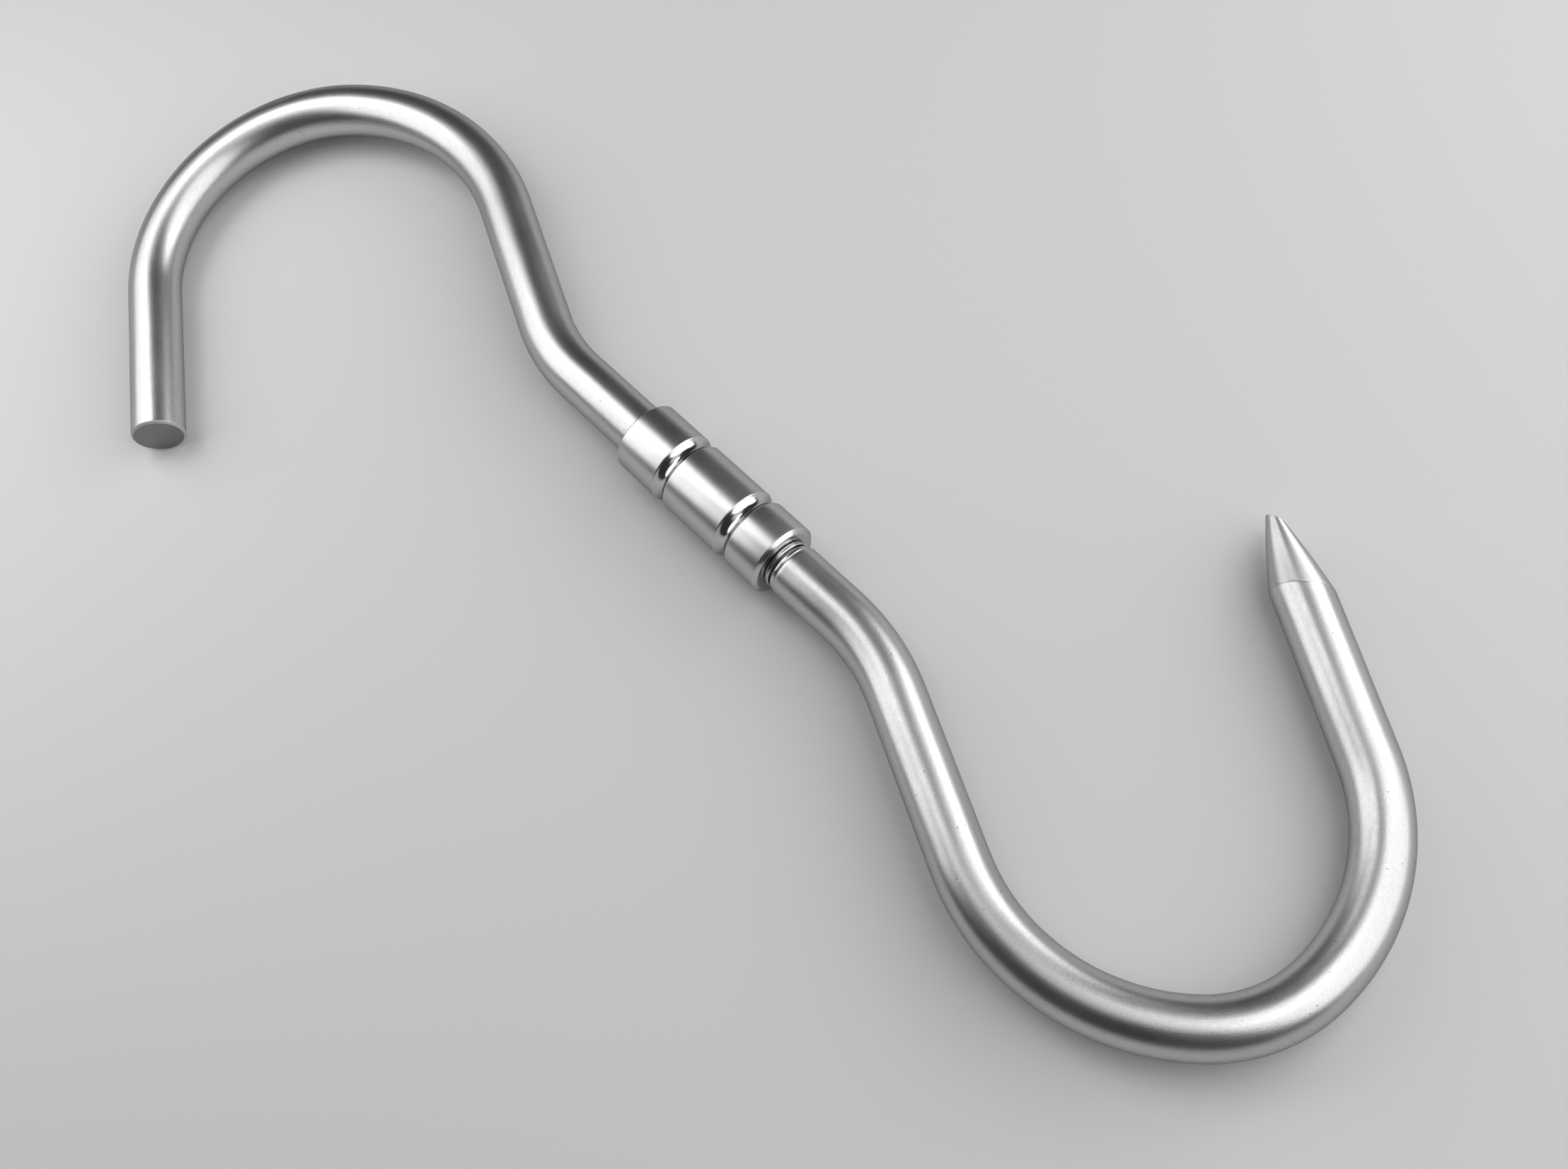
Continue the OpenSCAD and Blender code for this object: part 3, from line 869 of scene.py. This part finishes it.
# %% The pale floor
PALE = 0.63
FLOOR_SOLID, FLOOR_HALF = 0.2, 0.9
floor_z = cad_box[0].z - 0.02 * MM
corner = np.array([(-1, -1), (1, -1), (1, 1), (-1, 1)]) * FLOOR_HALF
floor_mesh = bpy.data.meshes.new("pale_floor")
floor_mesh.from_pydata(np.column_stack([corner, np.full(4, floor_z)]).tolist(), [], [(0, 1, 2, 3)])
floor = bpy.data.objects.new("pale_floor", floor_mesh)
bpy.context.scene.collection.objects.link(floor)
paint = new_finish("pale_paint")
spot = paint.node("TexCoord", output="Object")
reach = paint.node("VectorMath", {"operation": "LENGTH"}, {0: spot}, "Value")
matt = paint.node("BsdfPrincipled", None, {
    "Base Color": (PALE, PALE, PALE, 1), "Roughness": 0.9, "Specular IOR Level": 0.1,
    "Alpha": 1 - ranged(paint, reach, FLOOR_SOLID, FLOOR_HALF),
})
paint.node("OutputMaterial", None, {"Surface": matt}, output=None)
floor_mesh.materials.append(paint.owner)
floor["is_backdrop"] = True
print("floor at z in mm", round(floor_z / MM, 3))

# %% [markdown]
# ## Light
# Metal shows its surroundings more than its own colour, so the lamps are the picture. Large round
# soft boxes stand on opposite sides of the hook, which draws one broad stripe along each side of a
# bar: a low and a high one behind the blunt hook, a very large one beyond the bowl, and a smaller
# one at the back that carries the stripe round the bowl's base and up the point. A disc's radiance
# is its power over pi times its area, so each lamp is given as the level that a mirror would show.

# %% Four soft boxes
def soft_box(name, place, radius, level):
    """Round lamp of a given radius that faces the hook; power = level * pi * area."""
    lamp = bpy.data.lights.new(name, "AREA")
    lamp.shape = "DISK"
    lamp.size = 2 * radius
    lamp.energy = level * math.pi * math.pi * radius**2
    holder = bpy.data.objects.new(name, lamp)
    holder.matrix_world = (
        Matrix.Translation(place) @ Vector(place).to_track_quat("Z", "Y").to_matrix().to_4x4()
    )
    holder.visible_camera = False
    bpy.context.scene.collection.objects.link(holder)
    print(name, "power in watts", round(lamp.energy, 2))


soft_box("low_soft_box", (-0.238, -0.146, 0.190), 0.160, 1.85)
soft_box("high_soft_box", (-0.404, -0.036, 0.689), 0.200, 2.2)
soft_box("large_soft_box", (0.36, 0.33, 0.40), 0.50, 1.7)
soft_box("back_soft_box", (0.06, 0.46, 0.24), 0.15, 1.9)

# %% [markdown]
# The room does the rest. From the floor's edge up to the horizon it is as pale as the floor, above
# that it is dim, and a patch of ceiling straight overhead is lit, which fills the strip between the
# two stripes on a bar. All of it depends only on how steeply one looks up or down.

# %% The room: pale to the horizon, dim above it, and a lit ceiling
DIM, CEILING = 0.05, 0.95
HORIZON, OVERHEAD = (0.02, 0.12), (0.88, 0.97)
room = Recipe(bpy.data.worlds.new("studio"))
steep = room.node("SeparateXYZ", None, {0: room.node("TexCoord", output="Generated")}, output="Z")
below, overhead = 1 - ranged(room, steep, *HORIZON), ranged(room, steep, *OVERHEAD)
sky = room.node("Background", None, {"Strength": DIM + (PALE - DIM) * below + CEILING * overhead})
room.node("OutputWorld", None, {"Surface": sky}, output=None)
bpy.context.scene.world = room.owner
print("levels: floor and walls", PALE, "dim", DIM, "ceiling", DIM + CEILING)

# %% [markdown]
# ## Camera
# The camera looks down steeply at the hook, which lies across the picture from corner to corner.
# Its place is given from the sleeve's face and axis and from the ground, and its turn by where it
# looks and which way is up.

# %% The camera
lens_place = Vector((sleeve_face + 0.205657, axis_y - 0.071792, 0.350705))
look = Vector((-0.41264, 0.17824, -0.89329)).normalized()
up = Vector((-0.61680, 0.66696, 0.41800))
right = look.cross(up).normalized()
up = right.cross(look)
turn = Matrix((right, up, -look)).transposed().to_4x4()
lens = bpy.data.cameras.new("camera")
lens.lens, lens.sensor_width = 43.41, 36
camera = bpy.data.objects.new("camera", lens)
camera.matrix_world = Matrix.Translation(lens_place) @ turn
bpy.context.scene.collection.objects.link(camera)
bpy.context.scene.camera = camera
bpy.context.scene.view_settings.view_transform = "Standard"

# %% [markdown]
# Last, the box of the dressed hook is set beside the box of the solids.

# %% Size against the solids
bpy.context.view_layer.update()
dressed_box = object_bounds()
boxes = {"cad": [list(v) for v in cad_box], "visual": [list(v) for v in dressed_box]}
print("dressed box against the solids in mm", [
    [round((a - b) / MM, 3) for a, b in zip(v, w)] for v, w in zip(boxes["visual"], boxes["cad"])
])
